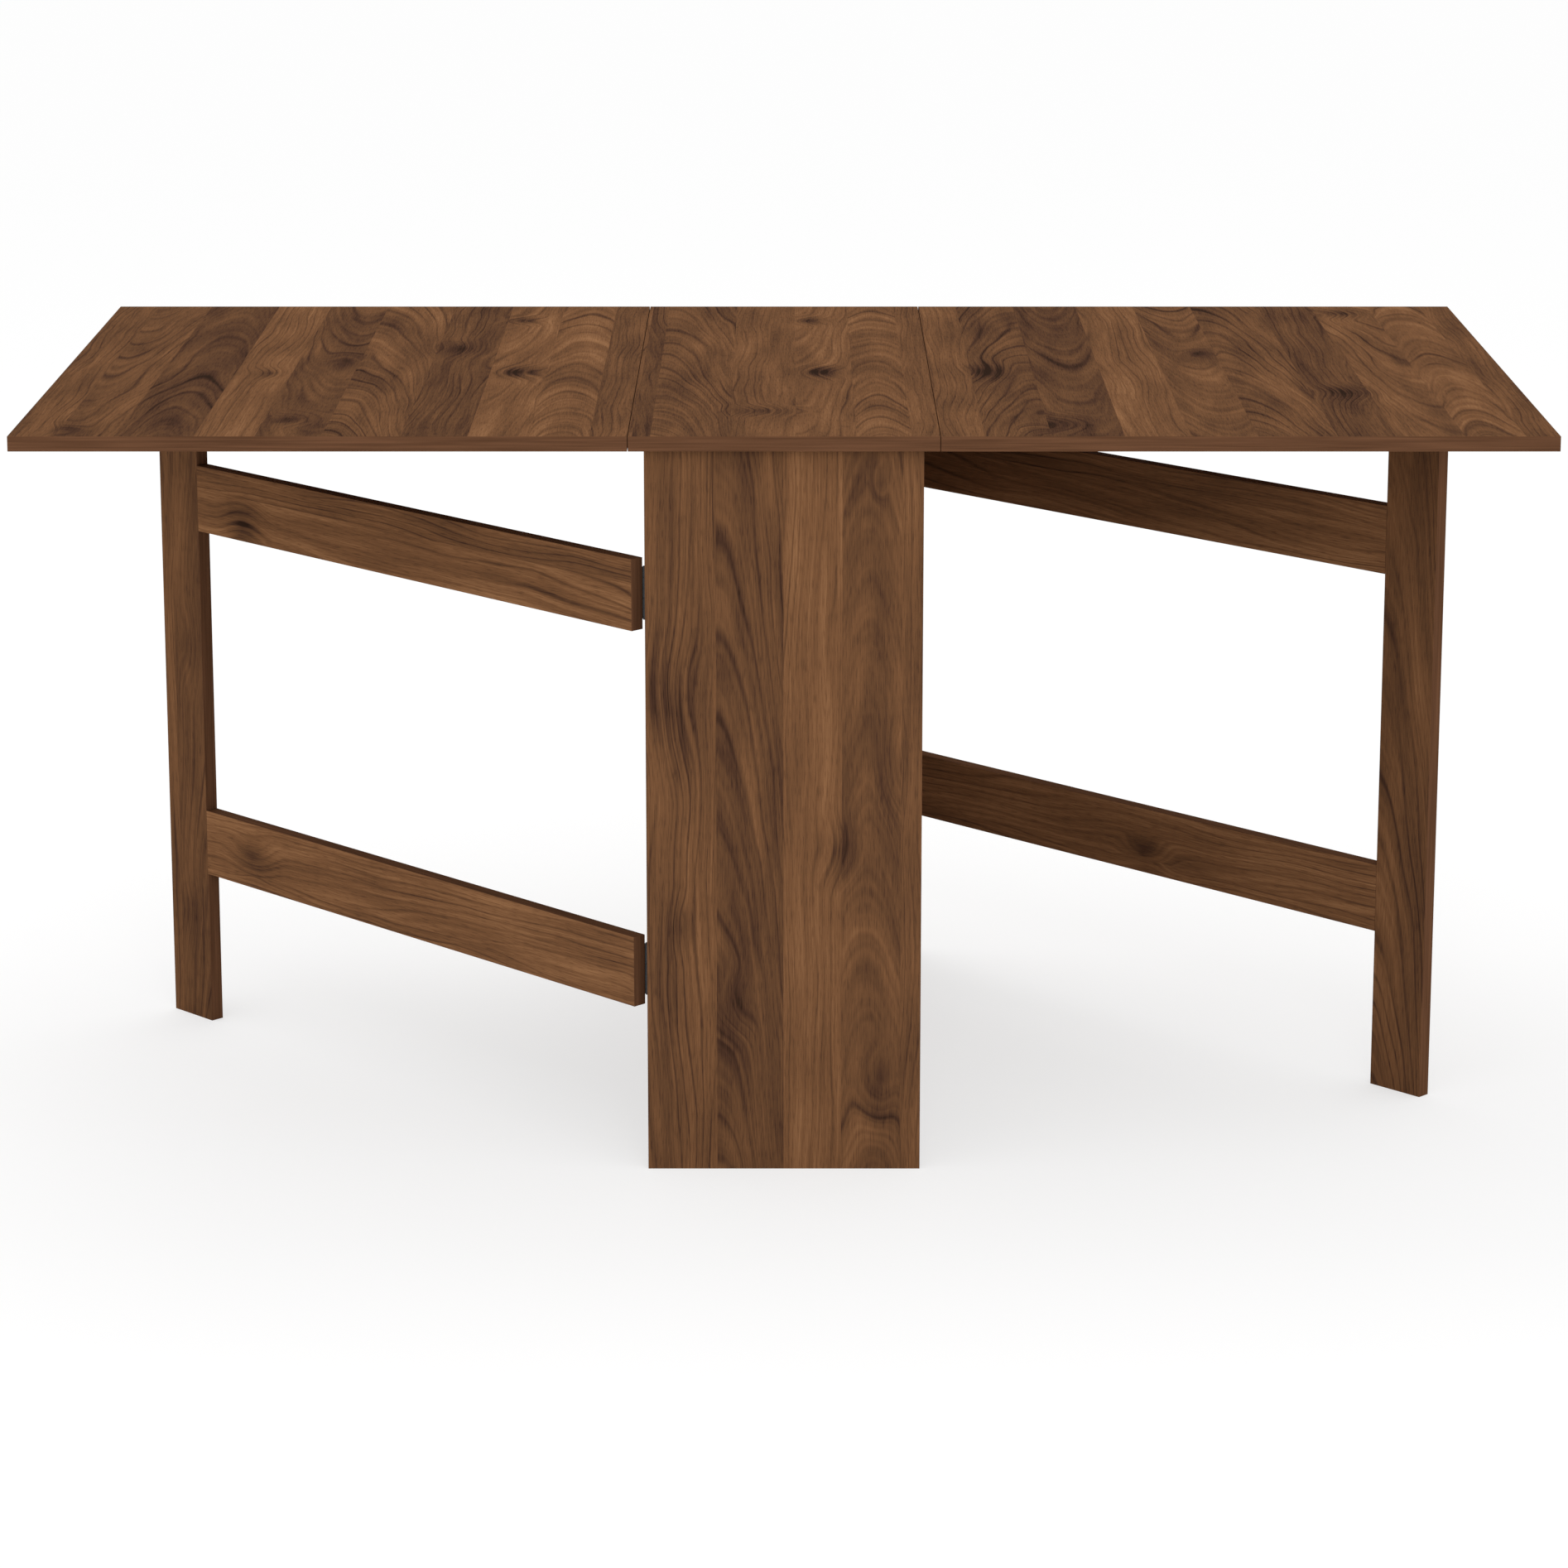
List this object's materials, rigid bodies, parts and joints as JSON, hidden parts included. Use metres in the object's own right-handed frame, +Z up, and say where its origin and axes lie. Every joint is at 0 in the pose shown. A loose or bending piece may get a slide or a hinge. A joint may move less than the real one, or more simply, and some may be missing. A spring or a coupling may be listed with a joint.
{
  "type": "folding dining table",
  "caption": "Gate-leg dining table of walnut-effect boards: drop leaves on both sides of a narrow pedestal, held up by gates that swing out.",
  "frame": {"origin": "on the floor under the middle of the top", "axes": "+X along the length over both raised leaves, +Y from the front end panel to the back one, +Z up"},
  "size_m": [1.5, 0.8, 0.75],
  "materials": {
    "walnut_board": "satin walnut-effect foil on board, plank pattern",
    "hinge_steel": "dark grey steel",
    "screw_zinc": "bright zinc",
    "cam_zinc": "cast zinc",
    "dowel_beech": "plain beech",
    "peg_plastic": "dark brown moulded"
  },
  "bodies": {
    "pedestal": {"cam_bolts": "cam_zinc", "cam_locks": "cam_zinc", "end_panel_back": "walnut_board", "end_panel_front": "walnut_board", "gate_left_hinge_lower_fixed_plate": "hinge_steel", "gate_left_hinge_lower_pin": "hinge_steel", "gate_left_hinge_upper_fixed_plate": "hinge_steel", "gate_left_hinge_upper_pin": "hinge_steel", "gate_right_hinge_lower_fixed_plate": "hinge_steel", "gate_right_hinge_lower_pin": "hinge_steel", "gate_right_hinge_upper_fixed_plate": "hinge_steel", "gate_right_hinge_upper_pin": "hinge_steel", "leaf_left_hinge_back_fixed_plate": "hinge_steel", "leaf_left_hinge_back_pin": "hinge_steel", "leaf_left_hinge_front_fixed_plate": "hinge_steel", "leaf_left_hinge_front_pin": "hinge_steel", "leaf_left_hinge_middle_fixed_plate": "hinge_steel", "leaf_left_hinge_middle_pin": "hinge_steel", "leaf_right_hinge_back_fixed_plate": "hinge_steel", "leaf_right_hinge_back_pin": "hinge_steel", "leaf_right_hinge_front_fixed_plate": "hinge_steel", "leaf_right_hinge_front_pin": "hinge_steel", "leaf_right_hinge_middle_fixed_plate": "hinge_steel", "leaf_right_hinge_middle_pin": "hinge_steel", "pedestal_dowels": "dowel_beech", "pedestal_hinge_screws": "screw_zinc", "spine_panel": "walnut_board", "top_centre": "walnut_board", "top_hinge_screws": "screw_zinc"},
    "left_leaf": {"leaf_left": "walnut_board", "leaf_left_hinge_back_swing_plate": "hinge_steel", "leaf_left_hinge_front_swing_plate": "hinge_steel", "leaf_left_hinge_middle_swing_plate": "hinge_steel", "leaf_left_hinge_screws": "screw_zinc", "leaf_left_stop_peg": "peg_plastic"},
    "right_leaf": {"leaf_right": "walnut_board", "leaf_right_hinge_back_swing_plate": "hinge_steel", "leaf_right_hinge_front_swing_plate": "hinge_steel", "leaf_right_hinge_middle_swing_plate": "hinge_steel", "leaf_right_hinge_screws": "screw_zinc", "leaf_right_stop_peg": "peg_plastic"},
    "left_gate": {"gate_left_dowels": "dowel_beech", "gate_left_hinge_lower_swing_plate": "hinge_steel", "gate_left_hinge_screws": "screw_zinc", "gate_left_hinge_upper_swing_plate": "hinge_steel", "gate_left_lower_rail": "walnut_board", "gate_left_post": "walnut_board", "gate_left_upper_rail": "walnut_board"},
    "right_gate": {"gate_right_dowels": "dowel_beech", "gate_right_hinge_lower_swing_plate": "hinge_steel", "gate_right_hinge_screws": "screw_zinc", "gate_right_hinge_upper_swing_plate": "hinge_steel", "gate_right_lower_rail": "walnut_board", "gate_right_post": "walnut_board", "gate_right_upper_rail": "walnut_board"}
  },
  "joints": [
    {"name": "gate_left_swing", "type": "hinge", "parent": "pedestal", "child": "left_gate", "pos_m": [-0.1362, -0.366, 0.36], "axis": [0, 0, -1], "range_deg": [0, 45]},
    {"name": "gate_right_swing", "type": "hinge", "parent": "pedestal", "child": "right_gate", "pos_m": [0.1362, 0.366, 0.36], "axis": [0, 0, -1], "range_deg": [0, 45]},
    {"name": "leaf_left_lift", "type": "hinge", "parent": "pedestal", "child": "left_leaf", "pos_m": [-0.1513, 0, 0.732], "axis": [0, 1, 0], "range_deg": [0, 1.8]},
    {"name": "leaf_right_lift", "type": "hinge", "parent": "pedestal", "child": "right_leaf", "pos_m": [0.1513, 0, 0.732], "axis": [0, -1, 0], "range_deg": [0, 1.8]}
  ]
}
